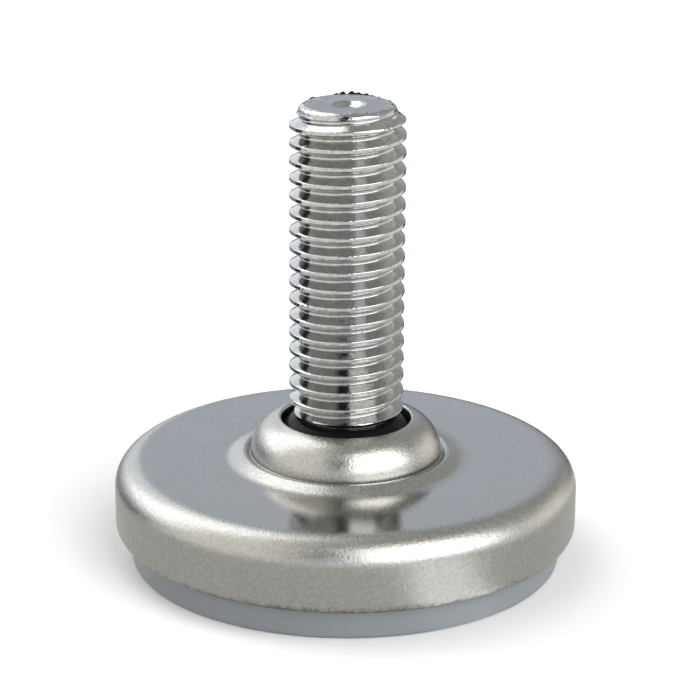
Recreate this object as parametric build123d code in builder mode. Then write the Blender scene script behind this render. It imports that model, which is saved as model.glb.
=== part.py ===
"""Furniture leveling foot: an M10 stud on a ball joint in a 40 mm round base.

Z points up the stud and z = 0 is the floor. The ball joint turns about three
lines through BALL_CENTRE_Z: the swivel seat about Z, the ball liner about X
on that seat, and the stud about its own axis in the liner.
"""
from build123d import *
from build123d.topology import SkipClean
from math import ceil, sqrt
import os

# ---- driving dimensions, millimetres -------------------------------------
OVERALL_HEIGHT = 40.0
BASE_RADIUS = 20.0
BASE_HEIGHT = 8.9
SHEET = 0.8
FIT_GAP = 0.1
RUNNING_GAP = 0.05

# Metric thread M10 x 1.5, right hand, rolled, so its crests are under 10 mm across.
THREAD_RADIUS = 4.9
THREAD_PITCH = 1.5
THREAD_ROOT_RADIUS = 4.08
THREAD_BOTTOM_Z = 13.1
GROOVE_START_Z = 12.7
GROOVE_ROOT_HALF_WIDTH = 0.125
FLANK_SLOPE = 0.57735
THREAD_SECTORS = 12

# Ball joint.
BALL_CENTRE_Z = 7.1
BALL_RADIUS = 6.0
BALL_BOTTOM_Z = 3.6
NECK_RADIUS = 4.05
LINER_WALL = 1.15
LINER_TOP_Z = 12.7
LINER_BOTTOM_Z = 4.2

# Pressed shell: a round boss with a bead at its foot, on a flat top.
HOLE_RADIUS = 5.6
HOLE_LIP_ROUND = 0.2
DOME_TOP_Z = 12.6
DOME_RADIUS = 8.2
DOME_ROUND = 3.1
DOME_SLOPE = 0.2254
SHOULDER_ROUND = 2.28
CRIMP_RADIUS = 18.95
CRIMP_ROUND = 0.9
CRIMP_Z = 2.6

# Sole and the pieces inside the base.
SOLE_FOOT_RADIUS = 18.6
SOLE_NECK_RADIUS = 18.85
SOLE_FLOOR = 1.4
SOLE_TOP_Z = 5.0
SOLE_EDGE_ROUND = 0.35
WASHER_THICKNESS = 0.8
WASHER_HOLE_RADIUS = 3.0
SEAT_RADIUS = 9.2
SEAT_TOP_Z = 6.95
RETAINER_EDGE_ROUND = 1.6

# ---- derived sizes --------------------------------------------------------
LINER_INNER_RADIUS = BALL_RADIUS + RUNNING_GAP
LINER_OUTER_RADIUS = LINER_INNER_RADIUS + LINER_WALL
BOWL_RADIUS = LINER_OUTER_RADIUS + RUNNING_GAP
RETAINER_BORE_RADIUS = BOWL_RADIUS + 2 * FIT_GAP
POCKET_RADIUS = SEAT_RADIUS + FIT_GAP
FLANGE_RADIUS = BASE_RADIUS - SHEET - FIT_GAP
FLANGE_BOTTOM_Z = CRIMP_Z + SHEET
WASHER_TOP_Z = SOLE_FLOOR + WASHER_THICKNESS
CEILING_Z = BASE_HEIGHT - SHEET

os.makedirs("parts", exist_ok=True)


# ---- threaded stud: rod, thread, neck and ball head in one forging --------
TOP_FACE_RADIUS = 3.95
TOP_BEVEL_RADIUS = 4.53
TOP_BEVEL_DROP = 0.3
TOP_CONE_DROP = 1.1
BOTTOM_CHAMFER = 0.35
DIMPLE_RADIUS = 1.4
DIMPLE_DEPTH = 0.5
CUT_MARGIN = 0.1
cut_radius = THREAD_RADIUS + CUT_MARGIN
sector = 360 / THREAD_SECTORS

mouth_half_width = GROOVE_ROOT_HALF_WIDTH + FLANK_SLOPE * (cut_radius - THREAD_ROOT_RADIUS)
ball_flat_radius = sqrt(BALL_RADIUS**2 - (BALL_CENTRE_Z - BALL_BOTTOM_Z) ** 2)
neck_bottom_z = BALL_CENTRE_Z + sqrt(BALL_RADIUS**2 - NECK_RADIUS**2)
groove_turns = ceil((OVERALL_HEIGHT - GROOVE_START_Z) / THREAD_PITCH + 1 / 2)

# One turn of the groove, which the stud repeats up its length.
with BuildPart() as groove_turn:
    with BuildLine(Plane.XY.offset(GROOVE_START_Z)) as groove_path:
        Helix(THREAD_PITCH, THREAD_PITCH, THREAD_ROOT_RADIUS)
    with BuildSketch(Plane.XZ):
        with BuildLine():
            Polyline(
                (THREAD_ROOT_RADIUS, GROOVE_START_Z - GROOVE_ROOT_HALF_WIDTH),
                (cut_radius, GROOVE_START_Z - mouth_half_width),
                (cut_radius, GROOVE_START_Z + mouth_half_width),
                (THREAD_ROOT_RADIUS, GROOVE_START_Z + GROOVE_ROOT_HALF_WIDTH),
                close=True,
            )
        make_face()
    sweep(path=groove_path.line, is_frenet=True)

# The blank is put together from wedges whose seams stay in its wall, so each
# crest is a row of short cylinder faces, not one face that winds up the rod.
with BuildPart() as blank_wedge:
    with BuildSketch(Plane.XY.offset(THREAD_BOTTOM_Z)):
        with BuildLine():
            rim = CenterArc((0, 0), THREAD_RADIUS, sector / 2, sector)
            Line((0, 0), rim @ 0)
            Line((0, 0), rim @ 1)
        make_face()
    extrude(amount=OVERALL_HEIGHT - THREAD_BOTTOM_Z)

with SkipClean(), BuildPart() as threaded_stud:
    with PolarLocations(0, THREAD_SECTORS):
        add(blank_wedge.part)

    # Bevelled first thread at the top and chamfer at the bottom.
    with BuildSketch(Plane.XZ):
        with BuildLine():
            Polyline(
                (TOP_FACE_RADIUS, OVERALL_HEIGHT),
                (TOP_BEVEL_RADIUS, OVERALL_HEIGHT - TOP_BEVEL_DROP),
                (THREAD_RADIUS, OVERALL_HEIGHT - TOP_CONE_DROP),
                (cut_radius, OVERALL_HEIGHT - TOP_CONE_DROP),
                (cut_radius, OVERALL_HEIGHT + CUT_MARGIN),
                (TOP_FACE_RADIUS, OVERALL_HEIGHT + CUT_MARGIN),
                close=True,
            )
        make_face()
        with BuildLine():
            Polyline(
                (THREAD_RADIUS - BOTTOM_CHAMFER, THREAD_BOTTOM_Z),
                (THREAD_RADIUS, THREAD_BOTTOM_Z + BOTTOM_CHAMFER),
                (cut_radius, THREAD_BOTTOM_Z + BOTTOM_CHAMFER),
                (cut_radius, THREAD_BOTTOM_Z - CUT_MARGIN),
                (THREAD_RADIUS - BOTTOM_CHAMFER, THREAD_BOTTOM_Z - CUT_MARGIN),
                close=True,
            )
        make_face()
    revolve(axis=Axis.Z, mode=Mode.SUBTRACT)

    # The groove starts below the blank, so it runs out into the neck.
    with Locations(*[(0, 0, turn * THREAD_PITCH) for turn in range(groove_turns)]):
        add(groove_turn.part, mode=Mode.SUBTRACT)

    # Neck and ball, with the ball cut flat underneath.
    with BuildSketch(Plane.XZ):
        with BuildLine():
            ball_flat = Line((0, BALL_BOTTOM_Z), (ball_flat_radius, BALL_BOTTOM_Z))
            ball_top = (NECK_RADIUS, neck_bottom_z)
            ball_side = ThreePointArc(ball_flat @ 1, (BALL_RADIUS, BALL_CENTRE_Z), ball_top)
            Polyline(ball_top, (NECK_RADIUS, THREAD_BOTTOM_Z), (0, THREAD_BOTTOM_Z), ball_flat @ 0)
        make_face()
    revolve(axis=Axis.Z)

    # Centre-drill dimple in the top face.
    with BuildSketch(Plane.XZ):
        with BuildLine():
            Polyline(
                (0, OVERALL_HEIGHT),
                (DIMPLE_RADIUS, OVERALL_HEIGHT),
                (0, OVERALL_HEIGHT - DIMPLE_DEPTH),
                close=True,
            )
        make_face()
    revolve(axis=Axis.Z, mode=Mode.SUBTRACT)
threaded_stud.part.label = "threaded_stud"
export_step(threaded_stud.part, "parts/threaded_stud.step")


# ---- ball liner: black nylon cup round the ball, open for the neck --------
LINER_RIM_ROUND = 0.25

with BuildPart() as ball_liner:
    with BuildSketch(Plane.XZ):
        with Locations((0, BALL_CENTRE_Z)):
            Circle(LINER_OUTER_RADIUS)
            Circle(LINER_INNER_RADIUS, mode=Mode.SUBTRACT)
        with Locations((NECK_RADIUS + RUNNING_GAP, LINER_BOTTOM_Z)):
            Rectangle(
                LINER_OUTER_RADIUS,
                LINER_TOP_Z - LINER_BOTTOM_Z,
                align=(Align.MIN, Align.MIN),
                mode=Mode.INTERSECT,
            )
    revolve(axis=Axis.Z)
    top_edges = ball_liner.edges().filter_by(GeomType.CIRCLE).group_by(Axis.Z)[-1]
    fillet(top_edges.sort_by(SortBy.RADIUS)[-1], LINER_RIM_ROUND)
ball_liner.part.label = "ball_liner"
export_step(ball_liner.part, "parts/ball_liner.step")


# ---- swivel seat: ring with a round bowl that carries the liner -----------
with BuildPart() as swivel_seat:
    with BuildSketch(Plane.XZ):
        with Locations((0, WASHER_TOP_Z)):
            Rectangle(SEAT_RADIUS, SEAT_TOP_Z - WASHER_TOP_Z, align=(Align.MIN, Align.MIN))
        with Locations((0, BALL_CENTRE_Z)):
            Circle(BOWL_RADIUS, mode=Mode.SUBTRACT)
    revolve(axis=Axis.Z)
swivel_seat.part.label = "swivel_seat"
export_step(swivel_seat.part, "parts/swivel_seat.step")


# ---- thrust washer: steel ring that the swivel seat turns on --------------
with BuildPart() as thrust_washer:
    with BuildSketch(Plane.XY.offset(SOLE_FLOOR)):
        Circle(SEAT_RADIUS)
        Circle(WASHER_HOLE_RADIUS, mode=Mode.SUBTRACT)
    extrude(amount=WASHER_THICKNESS)
thrust_washer.part.label = "thrust_washer"
export_step(thrust_washer.part, "parts/thrust_washer.step")


# ---- retainer: steel disc that fills the shell above the sole -------------
with BuildPart() as retainer_plate:
    with BuildSketch(Plane.XY.offset(SOLE_TOP_Z)):
        Circle(FLANGE_RADIUS)
        Circle(RETAINER_BORE_RADIUS, mode=Mode.SUBTRACT)
    extrude(amount=CEILING_Z - SOLE_TOP_Z)
    with BuildSketch(Plane.XY.offset(SOLE_TOP_Z)):
        Circle(POCKET_RADIUS)
    extrude(amount=SEAT_TOP_Z + RUNNING_GAP - SOLE_TOP_Z, mode=Mode.SUBTRACT)
    top_edges = retainer_plate.edges().filter_by(GeomType.CIRCLE).group_by(Axis.Z)[-1]
    fillet(top_edges.sort_by(SortBy.RADIUS)[-1], RETAINER_EDGE_ROUND)
retainer_plate.part.label = "retainer_plate"
export_step(retainer_plate.part, "parts/retainer_plate.step")


# ---- housing shell: pressed sheet steel, crimped under the sole's flange --
BEAD_FOOT = (10.35, BASE_HEIGHT)
BEAD_TOP = (9.25, 9.68)
BEAD_CREASE = (8.25, 9.25)
BEAD_FOOT_ROUND = 1.4
BEAD_TOP_ROUND = 0.9
BEAD_CREASE_ROUND = 0.18
PUNCH_MARGIN = 0.5

dome_corner_z = DOME_TOP_Z - DOME_SLOPE * (DOME_RADIUS - HOLE_RADIUS)
blank_hole_z = DOME_TOP_Z + DOME_SLOPE * PUNCH_MARGIN

with BuildPart() as housing_shell:
    with BuildSketch(Plane.XZ):
        with BuildLine():
            FilletPolyline(
                (CRIMP_RADIUS, CRIMP_Z),
                (BASE_RADIUS, CRIMP_Z),
                (BASE_RADIUS, BASE_HEIGHT),
                BEAD_FOOT,
                BEAD_TOP,
                BEAD_CREASE,
                (DOME_RADIUS, dome_corner_z),
                (HOLE_RADIUS - PUNCH_MARGIN, blank_hole_z),
                radius=[
                    CRIMP_ROUND,
                    SHOULDER_ROUND,
                    BEAD_FOOT_ROUND,
                    BEAD_TOP_ROUND,
                    BEAD_CREASE_ROUND,
                    DOME_ROUND,
                ],
            )
            offset(amount=SHEET, side=Side.LEFT)
        make_face()
    revolve(axis=Axis.Z)
    Hole(HOLE_RADIUS)
    lip = housing_shell.edges().filter_by(GeomType.CIRCLE).group_by(Axis.Z)[-1]
    fillet(lip, HOLE_LIP_ROUND)
housing_shell.part.label = "housing_shell"
export_step(housing_shell.part, "parts/housing_shell.step")


# ---- sole: grey plastic disc, held by its flange in the crimp -------------
with BuildPart() as sole:
    with BuildSketch(Plane.XZ):
        with BuildLine():
            Polyline(
                (0, 0),
                (SOLE_FOOT_RADIUS, 0),
                (SOLE_NECK_RADIUS, FLANGE_BOTTOM_Z),
                (FLANGE_RADIUS, FLANGE_BOTTOM_Z),
                (FLANGE_RADIUS, SOLE_TOP_Z),
                (POCKET_RADIUS, SOLE_TOP_Z),
                (POCKET_RADIUS, SOLE_FLOOR),
                (0, SOLE_FLOOR),
                close=True,
            )
        make_face()
    revolve(axis=Axis.Z)
    fillet(sole.edges().group_by(Axis.Z)[0], SOLE_EDGE_ROUND)
sole.part.label = "sole"
export_step(sole.part, "parts/sole.step")
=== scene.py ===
"""Furniture leveling foot: chromed M10 stud in a nickel-plated base on a grey sole.

Blender 4.5, metres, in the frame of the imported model: z up the stud, floor at 0.
"""
import math
import random

import bmesh
import bpy
import numpy as np
from mathutils import Matrix, Vector


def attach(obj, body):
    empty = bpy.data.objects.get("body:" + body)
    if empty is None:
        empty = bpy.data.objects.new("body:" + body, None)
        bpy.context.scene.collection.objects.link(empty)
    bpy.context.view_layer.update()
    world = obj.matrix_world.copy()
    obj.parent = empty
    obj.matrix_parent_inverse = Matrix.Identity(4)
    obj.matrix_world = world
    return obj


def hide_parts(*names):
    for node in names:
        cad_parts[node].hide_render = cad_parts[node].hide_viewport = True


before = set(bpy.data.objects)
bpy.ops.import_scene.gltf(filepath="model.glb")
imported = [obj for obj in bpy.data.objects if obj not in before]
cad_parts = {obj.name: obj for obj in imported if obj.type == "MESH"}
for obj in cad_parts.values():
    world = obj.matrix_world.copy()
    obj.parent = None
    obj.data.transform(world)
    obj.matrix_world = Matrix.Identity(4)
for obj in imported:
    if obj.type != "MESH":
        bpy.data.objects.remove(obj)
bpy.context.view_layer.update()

MM = 0.001
SEED = 11

# ---- sizes of the model, millimetres --------------------------------------
HEIGHT = 40.0
BASE_RADIUS = 20.0
BASE_TOP = 8.9
SHEET = 0.8
THREAD_RADIUS = 4.9
ROOT_RADIUS = 4.04
PITCH = 1.5
GROOVE_START = 12.7
THREAD_BOTTOM = 13.1
ROOT_HALF = 0.10
FLANK_SLOPE = 0.57735
NECK_RADIUS = 4.05
BALL_CENTRE = 7.1
BALL_RADIUS = 6.0
BALL_FLAT = 3.6
HOLE_RADIUS = 5.6
LINER_INNER = 6.05
LINER_OUTER = 7.2
LINER_BOTTOM = 4.2
LINER_TOP = 12.7


# ---- mesh helpers -----------------------------------------------------------
def rounded(points, radii, step=8.0):
    """A polyline in (radius, z) with each inner corner turned into an arc of its radius."""
    out = [points[0]]
    for before, corner, after, radius in zip(points, points[1:], points[2:], radii):
        c = Vector(corner)
        a = (Vector(before) - c).normalized()
        b = (Vector(after) - c).normalized()
        half = a.angle(b) / 2
        if radius <= 0 or abs(half - math.pi / 2) < 1e-4:
            out.append(corner)
            continue
        centre = c + (a + b).normalized() * (radius / math.sin(half))
        start = c + a * (radius / math.tan(half)) - centre
        end = c + b * (radius / math.tan(half)) - centre
        turn = start.angle_signed(end)
        count = max(3, int(abs(math.degrees(turn)) / step))
        for k in range(count + 1):
            t = -turn * k / count
            x = start.x * math.cos(t) - start.y * math.sin(t)
            y = start.x * math.sin(t) + start.y * math.cos(t)
            out.append((centre.x + x, centre.y + y))
    out.append(points[-1])
    return out


def divided(line, longest):
    """The same polyline with no run longer than a length."""
    out = [line[0]]
    for p, q in zip(line, line[1:]):
        n = max(1, math.ceil(math.dist(p, q) / longest))
        for k in range(1, n + 1):
            out.append((p[0] + (q[0] - p[0]) * k / n, p[1] + (q[1] - p[1]) * k / n))
    return out


def inset(line, depth):
    """The polyline moved sideways by a depth, to the left of its own direction."""
    out = []
    for k, p in enumerate(line):
        a = Vector(line[max(0, k - 1)])
        b = Vector(line[min(len(line) - 1, k + 1)])
        along = (b - a).normalized()
        out.append((p[0] - along.y * depth, p[1] + along.x * depth))
    return out


def lathe(name, line, segments, closed=True):
    """A turned piece from a (radius, z) polyline in millimetres, closed on itself or on the axis."""
    bm = bmesh.new()
    rings = []
    for radius, z in line:
        if radius < 1e-6:
            rings.append([bm.verts.new((0, 0, z * MM))])
            continue
        ring = []
        for k in range(segments):
            t = 2 * math.pi * k / segments
            ring.append(bm.verts.new((radius * MM * math.cos(t), radius * MM * math.sin(t), z * MM)))
        rings.append(ring)
    pairs = list(zip(rings, rings[1:]))
    if closed:
        pairs.append((rings[-1], rings[0]))
    for low, high in pairs:
        for k in range(segments):
            n = (k + 1) % segments
            corners = [low[k % len(low)], low[n % len(low)], high[n % len(high)], high[k % len(high)]]
            unique = list(dict.fromkeys(corners))
            if len(unique) > 2:
                bm.faces.new(unique)
    return finished(name, bm)


def finished(name, bm):
    """A smooth-shaded object from a bmesh, with its normals outwards."""
    bmesh.ops.recalc_face_normals(bm, faces=bm.faces)
    mesh = bpy.data.meshes.new(name)
    bm.to_mesh(mesh)
    bm.free()
    obj = bpy.data.objects.new(name, mesh)
    bpy.context.scene.collection.objects.link(obj)
    mesh.shade_smooth()
    return obj


def smooth_by_angle(obj, degrees):
    """Keeps edges sharper than an angle crisp."""
    obj.data.set_sharp_from_angle(angle=math.radians(degrees))


# ---- node helpers ---------------------------------------------------------
class Nodes:
    """Short calls for building a node tree."""

    def __init__(self, tree):
        self.tree = tree
        tree.nodes.clear()

    def add(self, kind, inputs=None, **props):
        node = self.tree.nodes.new(kind)
        for key, value in props.items():
            setattr(node, key, value)
        for key, value in (inputs or {}).items():
            self.set(node.inputs[key], value)
        return node

    def set(self, socket, value):
        if isinstance(value, bpy.types.NodeSocket):
            self.tree.links.new(value, socket)
        elif isinstance(value, bpy.types.Node):
            self.tree.links.new(value.outputs[0], socket)
        else:
            socket.default_value = value

    def math(self, operation, *values):
        node = self.add("ShaderNodeMath", operation=operation)
        for socket, value in zip(node.inputs, values):
            self.set(socket, value)
        return node.outputs[0]

    def ramp(self, value, low, high, to_low=0.0, to_high=1.0, kind="SMOOTHSTEP"):
        names = ("Value", "From Min", "From Max", "To Min", "To Max")
        given = dict(zip(names, (value, low, high, to_low, to_high)))
        return self.add("ShaderNodeMapRange", given, interpolation_type=kind).outputs[0]

    def noise(self, vector, scale, detail=2.0, roughness=0.5):
        given = {"Vector": vector, "Scale": scale, "Detail": detail, "Roughness": roughness}
        return self.add("ShaderNodeTexNoise", given).outputs[0]

    def mix(self, factor, a, b):
        node = self.add("ShaderNodeMix", data_type="RGBA")
        self.set(node.inputs[0], factor)
        self.set(node.inputs[6], a)
        self.set(node.inputs[7], b)
        return node.outputs[2]

    def bump(self, height, strength, distance, normal=None):
        given = {"Height": height, "Strength": strength, "Distance": distance}
        node = self.add("ShaderNodeBump", given)
        if normal is not None:
            self.set(node.inputs["Normal"], normal)
        return node.outputs[0]


def rgb(r, g, b):
    return (r, g, b, 1.0)


def new_material(name):
    mat = bpy.data.materials.new(name)
    mat.use_nodes = True
    nodes = Nodes(mat.node_tree)
    shader = nodes.add("ShaderNodeBsdfPrincipled")
    out = nodes.add("ShaderNodeOutputMaterial")
    nodes.set(out.inputs["Surface"], shader.outputs[0])
    place = nodes.add("ShaderNodeTexCoord").outputs["Object"]
    return mat, nodes, shader, place


# ---- materials ------------------------------------------------------------
def nickel_plate():
    """Nickel on pressed steel: mirror on the flat, satin where it was drawn, painted shade in the crease
    at the foot of the dome, darker and browner along the crimp.
    """
    mat, n, shader, place = new_material("nickel_plate")
    across = n.add("ShaderNodeVectorMath", {0: place, 1: (1.0, 1.0, 0.0)}, operation="MULTIPLY")
    radius = n.add("ShaderNodeVectorMath", {0: across}, operation="LENGTH").outputs["Value"]
    height = n.add("ShaderNodeSeparateXYZ", {"Vector": place}).outputs["Z"]
    plate = n.mix(n.noise(place, 180.0, 3.0), rgb(0.435, 0.43, 0.405), rgb(0.475, 0.47, 0.445))
    dulled = n.ramp(n.noise(place, 3600.0, 3.0, 0.7), 0.35, 0.65, 0.0, 0.22)
    plate = n.mix(dulled, plate, rgb(0.12, 0.115, 0.10))
    # Painted shade: the crease where the dome meets the bead is darkened in the colour.
    painted_crease_shade = n.math("MULTIPLY", n.ramp(radius, 0.00800, 0.00825), n.ramp(radius, 0.00875, 0.00850))
    painted_crease_shade = n.math("MULTIPLY", painted_crease_shade, n.ramp(height, 0.00975, 0.00935))
    # Darker and browner towards the lower edge of the shell at the crimp, with a ragged noise edge.
    ragged = n.math("MULTIPLY_ADD", n.noise(place, 1900.0, 4.0, 0.7), -0.0016, height)
    crimp = n.math("MULTIPLY", n.ramp(ragged, 0.0026, 0.0018), n.ramp(radius, 0.0188, 0.0192))
    pits = n.ramp(n.noise(place, 3300.0, 2.0, 0.6), 0.745, 0.77)
    # dark joins the painted crease shade with the real pits in the plating.
    dark = n.math("MAXIMUM", n.math("MULTIPLY", painted_crease_shade, 0.3), pits)
    base = n.mix(dark, plate, rgb(0.03, 0.03, 0.03))
    shader.inputs["Metallic"].default_value = 1.0
    darkened_along_crimp = n.mix(n.math("MULTIPLY", crimp, 0.85), base, rgb(0.07, 0.052, 0.03))
    n.set(shader.inputs["Base Color"], darkened_along_crimp)
    rim = n.ramp(radius, 0.0172, 0.0182)
    boss = n.ramp(radius, 0.0112, 0.0103)
    speck = n.ramp(n.noise(place, 2600.0, 2.0), 0.3, 0.7, 0.07, 0.13)
    satin = n.math("MULTIPLY_ADD", rim, 0.19, n.math("MULTIPLY_ADD", boss, 0.16, speck))
    n.set(shader.inputs["Roughness"], satin)
    drawn = n.math("MULTIPLY_ADD", n.math("MAXIMUM", rim, boss), 1.0, 0.25)
    grain = n.math("MULTIPLY", n.noise(place, 4200.0, 3.0, 0.7), drawn)
    soft = n.bump(n.noise(place, 90.0, 1.0), 0.25, 0.00010)
    n.set(shader.inputs["Normal"], n.bump(grain, 1.0, 0.000022, soft))
    return mat


def chrome_plate():
    """Bright chrome over a rolled thread, nicked and thin on the first turns, dark on the burrs."""
    mat, n, shader, place = new_material("chrome_plate")
    height = n.add("ShaderNodeSeparateXYZ", {"Vector": place}).outputs["Z"]
    near_top = n.ramp(height, 0.0345, 0.0385)
    worn = n.math("MULTIPLY", near_top, n.ramp(n.noise(place, 800.0, 4.0, 0.7), 0.56, 0.66))
    worn = n.math("MULTIPLY", worn, n.ramp(height, 0.0392, 0.0388))
    torn = n.ramp(height, 0.040004, 0.040018)
    base = n.mix(n.noise(place, 700.0, 3.0), rgb(0.49, 0.495, 0.49), rgb(0.55, 0.55, 0.54))
    dulled = n.ramp(n.noise(place, 3000.0, 4.0, 0.7), 0.35, 0.65, 0.0, 0.25)
    base = n.mix(dulled, base, rgb(0.16, 0.16, 0.155))
    brassy = n.mix(n.math("MULTIPLY", worn, 0.55), base, rgb(0.38, 0.31, 0.19))
    pits = n.math("MAXIMUM", torn, n.ramp(n.noise(place, 2100.0, 3.0, 0.65), 0.70, 0.73))
    shader.inputs["Metallic"].default_value = 1.0
    n.set(shader.inputs["Base Color"], n.mix(pits, brassy, rgb(0.02, 0.02, 0.02)))
    n.set(shader.inputs["Roughness"], n.ramp(n.noise(place, 1500.0, 3.0), 0.3, 0.7, 0.05, 0.13))
    soft = n.bump(n.noise(place, 1300.0, 3.0, 0.6), 0.45, 0.00003)
    nicks = n.math("MULTIPLY", n.ramp(n.noise(place, 1500.0, 2.0), 0.62, 0.70), near_top)
    nicked = n.bump(nicks, 0.6, 0.00004, soft)
    n.set(shader.inputs["Normal"], n.bump(n.noise(place, 4800.0, 2.0), 0.5, 0.000014, nicked))
    return mat


def sole_plastic():
    """Blue-grey moulded plastic with a fine spark-eroded skin."""
    mat, n, shader, place = new_material("sole_plastic")
    cloud = n.noise(place, 120.0, 3.0)
    n.set(shader.inputs["Base Color"], n.mix(cloud, rgb(0.174, 0.189, 0.200), rgb(0.201, 0.216, 0.228)))
    n.set(shader.inputs["Roughness"], n.ramp(n.noise(place, 2500.0), 0.3, 0.7, 0.38, 0.50))
    shader.inputs["Specular IOR Level"].default_value = 0.45
    skin = n.noise(place, 3200.0, 3.0, 0.6)
    n.set(shader.inputs["Normal"], n.bump(skin, 0.3, 0.00002))
    return mat


def black_nylon():
    """Black nylon with a faint moulded sheen."""
    mat, n, shader, place = new_material("black_nylon")
    cloud = n.noise(place, 400.0, 3.0)
    n.set(shader.inputs["Base Color"], n.mix(cloud, rgb(0.002, 0.002, 0.002), rgb(0.006, 0.006, 0.006)))
    n.set(shader.inputs["Roughness"], n.ramp(n.noise(place, 1800.0), 0.3, 0.7, 0.22, 0.36))
    shader.inputs["Specular IOR Level"].default_value = 0.25
    shader.inputs["IOR"].default_value = 1.22
    n.set(shader.inputs["Normal"], n.bump(n.noise(place, 1600.0, 3.0), 0.35, 0.00004))
    return mat


def pale_nylon():
    """Natural nylon of the swivel seat, unseen inside the base."""
    mat, n, shader, place = new_material("pale_nylon")
    cloud = n.noise(place, 200.0, 3.0)
    n.set(shader.inputs["Base Color"], n.mix(cloud, rgb(0.62, 0.60, 0.54), rgb(0.70, 0.68, 0.62)))
    n.set(shader.inputs["Roughness"], n.ramp(n.noise(place, 900.0), 0.3, 0.7, 0.42, 0.55))
    n.set(shader.inputs["Normal"], n.bump(n.noise(place, 2200.0, 3.0), 0.3, 0.00003))
    return mat


def plain_steel():
    """Zinc-plated steel of the inner pieces."""
    mat, n, shader, place = new_material("plain_steel")
    cloud = n.noise(place, 260.0, 4.0, 0.6)
    n.set(shader.inputs["Base Color"], n.mix(cloud, rgb(0.42, 0.43, 0.44), rgb(0.52, 0.53, 0.54)))
    shader.inputs["Metallic"].default_value = 1.0
    n.set(shader.inputs["Roughness"], n.ramp(n.noise(place, 1400.0), 0.3, 0.7, 0.30, 0.45))
    n.set(shader.inputs["Normal"], n.bump(n.noise(place, 2400.0, 3.0), 0.3, 0.00003))
    return mat


# ---- pressed shell ---------------------------------------------------------
def make_shell():
    corners = [
        (18.95, 2.6),
        (BASE_RADIUS, 2.6),
        (BASE_RADIUS, BASE_TOP),
        (10.1, BASE_TOP),
        (8.8, 9.56),
        (8.24, 9.2),
        (8.2, 12.014),
        (HOLE_RADIUS, 12.60),
    ]
    radii = [0.9, 2.28, 1.6, 0.42, 0.1, 3.1]
    inner = inset(rounded(corners, radii, 6.0), SHEET)[:-1]
    outer = rounded(corners + [(HOLE_RADIUS, 11.79)], radii + [0.2], 6.0)
    line = divided(outer + inner[::-1], 0.6)
    obj = lathe("shell_visual", line, 288)
    smooth_by_angle(obj, 40)
    return obj


# ---- sole -------------------------------------------------------------------
def make_sole():
    corners = [
        (0.0, 0.0),
        (18.6, 0.0),
        (18.85, 3.4),
        (19.1, 3.4),
        (19.1, 5.0),
        (9.3, 5.0),
        (9.3, 1.4),
        (0.0, 1.4),
    ]
    radii = [0.35, 0.08, 0.12, 0.12, 0.2, 0.15]
    line = divided(rounded(corners, radii, 15.0), 1.2)
    obj = lathe("sole_visual", line, 256, closed=False)
    smooth_by_angle(obj, 35)
    return obj


# ---- ball liner --------------------------------------------------------------
def make_liner():
    def at(radius, z):
        return (math.sqrt(radius * radius - (z - BALL_CENTRE) ** 2), z)

    steps = 40
    rise = (LINER_TOP - LINER_BOTTOM) / steps
    outside = [at(LINER_OUTER, LINER_BOTTOM + rise * k) for k in range(steps)]
    bore = NECK_RADIUS + 0.05
    inner_top = BALL_CENTRE + math.sqrt(LINER_INNER ** 2 - bore ** 2)
    fall = (LINER_BOTTOM - inner_top) / steps
    inside = [at(LINER_INNER, inner_top + fall * k) for k in range(steps + 1)]
    rim = [(4.48, 12.66), (4.36, LINER_TOP), (bore + 0.06, LINER_TOP), (bore, LINER_TOP - 0.08)]
    obj = lathe("liner_visual", outside + rim + inside, 192)
    smooth_by_angle(obj, 40)
    return obj


# ---- threaded stud -----------------------------------------------------------
COLUMNS = 216
CREST_ROUND = 0.07
RIPPLE = 0.006
BURR = 0.07
ROOT_ROUND = 0.09
# (how many, angle range, lift as a share of BURR, width range in radians)
BURR_GROUPS = [
    (46, (-math.pi, math.pi), (-0.5, 1.0), (0.015, 0.07)),
    (30, (0.75, 1.9), (0.2, 1.0), (0.025, 0.06)),
]
TOP_LEVELS = [38.75, 39.0, 39.2, 39.45, 39.75, 39.92, 40.0, 41.0]


def thread_table():
    """(radius, axial place) points over one pitch, from crest to crest, groove in the middle."""
    crest_half = PITCH / 2 - ROOT_HALF - FLANK_SLOPE * (THREAD_RADIUS - ROOT_RADIUS)
    corners = [
        (THREAD_RADIUS, -PITCH / 2),
        (THREAD_RADIUS, -PITCH / 2 + crest_half),
        (ROOT_RADIUS, -ROOT_HALF),
        (ROOT_RADIUS, ROOT_HALF),
        (THREAD_RADIUS, PITCH / 2 - crest_half),
        (THREAD_RADIUS, PITCH / 2),
    ]
    line = rounded(corners, [CREST_ROUND, ROOT_ROUND, ROOT_ROUND, CREST_ROUND], 14.0)
    return divided(line, 0.16)[:-1]


def bevel(z):
    """The widest radius that the blank allows at a height."""
    top = np.interp(z, TOP_LEVELS, [4.9, 4.6, 4.32, 4.16, 4.06, 3.88, 3.68, 2.0])
    low = np.interp(z, [12.0, 13.1, 13.45], [4.0, 4.55, 4.9])
    return np.minimum(top, low)


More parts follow.
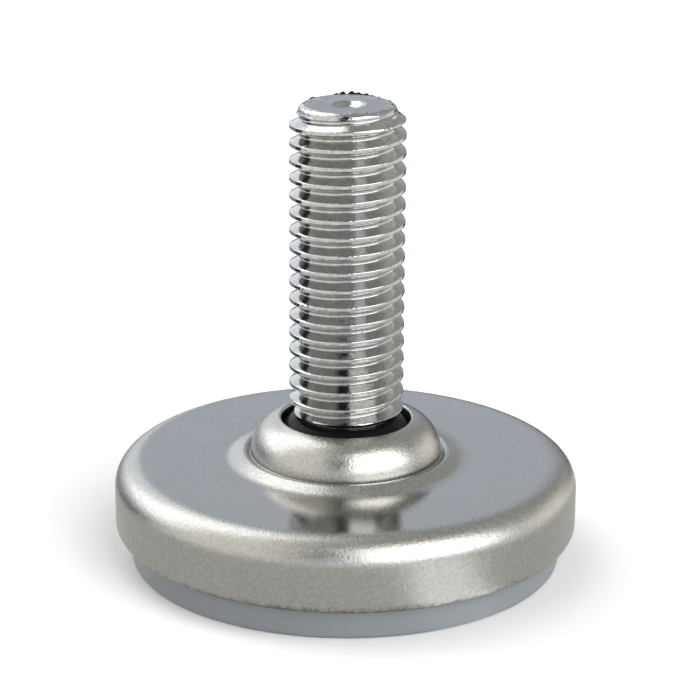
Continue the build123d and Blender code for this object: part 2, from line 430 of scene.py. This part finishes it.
def make_stud():
    rng = random.Random(SEED)
    table = thread_table()
    rows = len(table)
    turns = range(-1, int((HEIGHT - GROOVE_START) / PITCH) + 3)
    dents = []
    for _ in range(26):
        dents.append(
            (
                rng.uniform(-math.pi, math.pi),
                rng.choice([36.2, 36.6, 37.4, 37.9, 38.3, 38.8, 39.0]) + rng.uniform(-0.3, 0.3),
                rng.uniform(0.05, 0.14),
                rng.uniform(0.03, 0.12),
            )
        )
    burrs = []
    for count, where, lift, width in BURR_GROUPS:
        for _ in range(count):
            burrs.append((rng.uniform(*where), rng.uniform(*lift) * BURR, rng.uniform(*width)))
    ripple = [(rng.randrange(18, 95), rng.uniform(0, 6.28), rng.uniform(0.2, 1.0)) for _ in range(14)]
    bm = bmesh.new()
    grid = []
    for turn in turns:
        for radius, s in table:
            row = []
            for j in range(COLUMNS):
                t = 2 * math.pi * j / COLUMNS
                z = GROOVE_START + PITCH * (turn + j / COLUMNS) + s
                r = min(radius, float(bevel(z)))
                if radius > THREAD_RADIUS - 0.08:
                    along = t + 2 * math.pi * turn
                    r += RIPPLE * sum(h * math.sin(k * along * 0.97 + p) for k, p, h in ripple)
                if z > 35.5 and radius > 4.6:
                    for a, h, width, depth in dents:
                        away = (math.remainder(t - a, 2 * math.pi) * 5) ** 2 + (z - h) ** 2
                        r -= depth * math.exp(-away / (width * width)) if away < 0.2 else 0
                row.append(bm.verts.new((r * MM * math.cos(t), r * MM * math.sin(t), z * MM)))
            grid.append(row)
    count = len(grid)
    for i in range(count - 1):
        for j in range(COLUMNS):
            n = j + 1
            if n < COLUMNS:
                bm.faces.new((grid[i][j], grid[i][n], grid[i + 1][n], grid[i + 1][j]))
            elif i + 1 + rows < count:
                bm.faces.new((grid[i][j], grid[i + rows][0], grid[i + 1 + rows][0], grid[i + 1][j]))
    top_loop = cut(bm, HEIGHT, False)
    low_loop = cut(bm, THREAD_BOTTOM, True)
    for v in top_loop:
        t = math.atan2(v.co.y, v.co.x)
        lift = sum(h * math.exp(-((math.remainder(t - a, 2 * math.pi) / w) ** 2)) for a, h, w in burrs)
        v.co.z += lift * MM
        v.co.xy *= 1 + 0.02 * lift / BURR
    dimple = [(3.56, HEIGHT), (2.4, HEIGHT), (1.62, HEIGHT), (1.5, HEIGHT - 0.015), (1.4, HEIGHT - 0.06)]
    dimple += [(1.3, HEIGHT - 0.13), (1.1, HEIGHT - 0.31), (0.9, HEIGHT - 0.43), (0.7, HEIGHT - 0.49)]
    dimple += [(0.35, HEIGHT - 0.52), (0.0, HEIGHT - 0.53)]
    cap(bm, top_loop, dimple)
    ball_top = BALL_CENTRE + math.sqrt(BALL_RADIUS ** 2 - NECK_RADIUS ** 2)
    under = [(NECK_RADIUS, THREAD_BOTTOM), (NECK_RADIUS, 12.4), (NECK_RADIUS, ball_top)]
    for k in range(1, 25):
        z = ball_top + (BALL_FLAT - ball_top) * k / 24
        under.append((math.sqrt(BALL_RADIUS ** 2 - (z - BALL_CENTRE) ** 2), z))
    under += [(2.4, BALL_FLAT), (0.0, BALL_FLAT)]
    cap(bm, low_loop, under)
    obj = finished("stud_visual", bm)
    smooth_by_angle(obj, 50)
    return obj


def cut(bm, height, keep_above):
    """Trims the surface at a level and returns the boundary loop there, in order of angle."""
    geom = list(bm.verts) + list(bm.edges) + list(bm.faces)
    bmesh.ops.bisect_plane(
        bm,
        geom=geom,
        dist=1e-8,
        plane_co=(0, 0, height * MM),
        plane_no=(0, 0, 1),
        clear_outer=not keep_above,
        clear_inner=keep_above,
    )
    loop = {v for e in bm.edges if len(e.link_faces) == 1 for v in e.verts}
    loop = [v for v in loop if abs(v.co.z - height * MM) < 1e-7]
    return sorted(loop, key=lambda v: math.atan2(v.co.y, v.co.x))


def cap(bm, loop, line):
    """Carries a loop of the surface on through the rings of a (radius, z) line."""
    last = loop
    angles = [math.atan2(v.co.y, v.co.x) for v in loop]
    count = len(loop)
    for radius, z in line:
        if radius < 1e-6:
            ring = [bm.verts.new((0, 0, z * MM))]
        else:
            r = radius * MM
            ring = [bm.verts.new((r * math.cos(a), r * math.sin(a), z * MM)) for a in angles]
        for k in range(count):
            n = (k + 1) % count
            corners = [last[k], last[n], ring[n % len(ring)], ring[k % len(ring)]]
            bm.faces.new(list(dict.fromkeys(corners)))
        last = ring


NICKEL = nickel_plate()
CHROME = chrome_plate()
PLASTIC = sole_plastic()
BLACK = black_nylon()
PALE = pale_nylon()
STEEL = plain_steel()


def place(obj, body, node, slot, material):
    obj.data.materials.append(material)
    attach(obj, body)
    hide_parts(node)


place(make_shell(), "foot", "housing_shell", "shell_nickel", NICKEL)
place(make_sole(), "foot", "sole", "sole_grey", PLASTIC)
place(make_liner(), "liner", "ball_liner", "liner_black", BLACK)
place(make_stud(), "stud", "threaded_stud", "stud_chrome", CHROME)

for node_name, material in (("swivel_seat", PALE), ("thrust_washer", STEEL), ("retainer_plate", STEEL)):
    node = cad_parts[node_name]
    for material_slot in node.material_slots:
        material_slot.material = material

# ---- floor and backdrop -------------------------------------------------------
def sheet(name, reach, height, material):
    mesh = bpy.data.meshes.new(name)
    signs = ((-1, -1), (1, -1), (1, 1), (-1, 1))
    mesh.from_pydata([(x * reach, y * reach, height) for x, y in signs], [], [(0, 1, 2, 3)])
    mesh.materials.append(material)
    obj = bpy.data.objects.new(name, mesh)
    bpy.context.scene.collection.objects.link(obj)
    return obj


def glow(name):
    """An emissive material that is seen but isn't sampled as a lamp."""
    mat = bpy.data.materials.new(name)
    mat.use_nodes = True
    mat.cycles.emission_sampling = "NONE"
    nodes = Nodes(mat.node_tree)
    shader = nodes.add("ShaderNodeEmission")
    out = nodes.add("ShaderNodeOutputMaterial")
    nodes.set(out.inputs["Surface"], shader.outputs[0])
    return mat, nodes, shader, nodes.add("ShaderNodeTexCoord").outputs["Object"]


paper, n, shader, spot = new_material("floor_paper")
pale = n.mix(n.noise(spot, 3.0), rgb(0.78, 0.78, 0.78), rgb(0.80, 0.80, 0.80))
n.set(shader.inputs["Base Color"], pale)
shader.inputs["Roughness"].default_value = 0.9
shader.inputs["Specular IOR Level"].default_value = 0.0
floor = sheet("floor", 4.0, -0.00002, paper)
floor.visible_glossy = False

# Painted reflection: a glowing sheet seen only in reflections paints what the metal mirrors of the
# table:
# painted shade near the foot, a painted lighter patch to the right, painted dark at the back. Angles are
# in radians from the camera's side, towards +X.
table, n, shader, spot = glow("table_glow")
parts = n.add("ShaderNodeSeparateXYZ", {"Vector": spot})
turned = n.math("ARCTAN2", parts.outputs["X"], n.math("MULTIPLY", parts.outputs["Y"], -1.0))
patch = n.math("MULTIPLY", n.ramp(turned, 0.30, 0.46), n.ramp(turned, 0.88, 0.72))
reach = n.add("ShaderNodeVectorMath", {0: spot}, operation="LENGTH").outputs["Value"]
patch = n.math("MULTIPLY", patch, n.ramp(reach, 0.075, 0.055))
# Painted shade near the foot and a painted light patch to the right.
near = n.mix(patch, rgb(0.66, 0.66, 0.64), rgb(1.42, 1.45, 1.48))
mid = n.mix(n.ramp(reach, 0.045, 0.110), near, rgb(1.15, 1.14, 1.10))
# Painted dark reflection: a dark band at the back-left, seen as dark crescents beside the thread turns.
painted_dark_crescent = n.math("MULTIPLY", n.ramp(turned, -1.74, -1.80), n.ramp(turned, -2.30, -2.10))
painted_dark_behind = n.math("MAXIMUM", painted_dark_crescent, n.ramp(turned, 2.35, 2.55))
painted_dark_behind = n.math("MAXIMUM", painted_dark_behind, n.ramp(turned, -2.0, -2.2, 0.0, 0.72))
painted_dark_behind = n.math("MULTIPLY", painted_dark_behind, n.ramp(reach, 0.038, 0.050))
n.set(shader.inputs["Color"], n.mix(painted_dark_behind, mid, rgb(0.06, 0.06, 0.06)))
table_sheet = sheet("table_mirror", 4.0, -0.0001, table)
table_sheet.visible_camera = False
table_sheet.visible_diffuse = False
table_sheet.visible_shadow = False

DOME_RADIUS = 3900.0
DOME_DROP = 20.0
dome_line = []
for k in range(17):
    t = k * math.pi / 32
    dome_line.append((DOME_RADIUS * math.cos(t), DOME_RADIUS * math.sin(t) - DOME_DROP))
dome_line[-1] = (0.0, dome_line[-1][1])
white, n, shader, spot = glow("backdrop_white")
n.set(shader.inputs["Color"], n.mix(n.noise(spot, 1.0), rgb(0.99, 0.99, 0.99), rgb(1.0, 1.0, 1.0)))
backdrop = lathe("backdrop", dome_line, 64, closed=False)
backdrop.data.materials.append(white)
backdrop.visible_diffuse = False
backdrop.visible_glossy = False
backdrop.visible_shadow = False
backdrop.visible_transmission = False

# ---- studio: soft boxes painted on the surroundings -------------------------
world = bpy.data.worlds.new("studio")
bpy.context.scene.world = world
world.use_nodes = True
w = Nodes(world.node_tree)
toward = w.add("ShaderNodeTexCoord").outputs["Generated"]
axes = w.add("ShaderNodeSeparateXYZ", {"Vector": toward})
elevation = w.math("MULTIPLY", w.math("ARCSINE", axes.outputs["Z"]), 180 / math.pi)
backwards = w.math("MULTIPLY", axes.outputs["Y"], -1.0)
azimuth = w.math("MULTIPLY", w.math("ARCTAN2", axes.outputs["X"], backwards), 180 / math.pi)


def soft_box(total, az, el, edge, light):
    """Puts a light inside an azimuth and an elevation range, in degrees, with soft edges."""
    middle = (az[0] + az[1]) / 2
    half = (az[1] - az[0]) / 2
    around = w.math("WRAP", w.math("SUBTRACT", azimuth, middle), 180.0, -180.0)
    across = w.ramp(w.math("ABSOLUTE", around), half + edge, half - edge)
    rise = w.math("ABSOLUTE", w.math("SUBTRACT", elevation, (el[0] + el[1]) / 2))
    up = w.ramp(rise, (el[1] - el[0]) / 2 + edge, (el[1] - el[0]) / 2 - edge)
    inside = w.math("MULTIPLY", across, up)
    return w.mix(inside, total, rgb(*light))


sky = w.mix(w.ramp(elevation, 15.0, 70.0), rgb(0.70, 0.755, 0.855), rgb(0.45, 0.45, 0.43))
sky = soft_box(sky, (150, 210), (-10, 15), 2.5, (0.50, 0.53, 0.57))
sky = soft_box(sky, (-95, -27), (-5, 70), 6.0, (1.25, 1.22, 1.15))
sky = soft_box(sky, (-165, -140), (38, 75), 5.0, (2.2, 2.25, 2.3))
sky = soft_box(sky, (-145, -95), (15, 75), 6.0, (2.7, 2.75, 2.8))
sky = soft_box(sky, (-172, -147), (-5, 36), 3.0, (1.15, 1.20, 1.28))
sky = soft_box(sky, (95, 150), (-5, 70), 8.0, (0.52, 0.52, 0.50))
sky = soft_box(sky, (98, 140), (-5, 24), 6.0, (1.35, 1.30, 1.20))
sky = soft_box(sky, (145, 162), (-5, 50), 3.0, (0.46, 0.47, 0.47))
sky = soft_box(sky, (9, 78), (8, 62), 5.0, (4.4, 4.4, 4.4))
sky = soft_box(sky, (-19, 9), (21, 75), 2.5, (0.03, 0.03, 0.03))
background = w.add("ShaderNodeBackground", {"Color": sky, "Strength": 1.0})
world_out = w.add("ShaderNodeOutputWorld")
w.set(world_out.inputs["Surface"], background)

# ---- camera -----------------------------------------------------------------
PITCH_DOWN = 0.31921
ROLL = 0.0068
LENS = 129.53
CAMERA_PLACE = (0.0003, -0.204794, 0.08619)
camera_data = bpy.data.cameras.new("camera")
camera_data.sensor_width = 36.0
camera_data.lens = LENS
camera_data.clip_start = 0.01
camera_data.clip_end = 50.0
camera = bpy.data.objects.new("camera", camera_data)
bpy.context.scene.collection.objects.link(camera)
bpy.context.scene.camera = camera
ahead = Vector((0, math.cos(PITCH_DOWN), -math.sin(PITCH_DOWN)))
level_up = Vector((0, math.sin(PITCH_DOWN), math.cos(PITCH_DOWN)))
level_right = Vector((1, 0, 0))
right = level_right * math.cos(ROLL) + level_up * math.sin(ROLL)
up = level_up * math.cos(ROLL) - level_right * math.sin(ROLL)
turned = Matrix((right, up, -ahead)).transposed().to_4x4()
camera.matrix_world = Matrix.Translation(CAMERA_PLACE) @ turned

bpy.context.scene.view_settings.view_transform = "Standard"
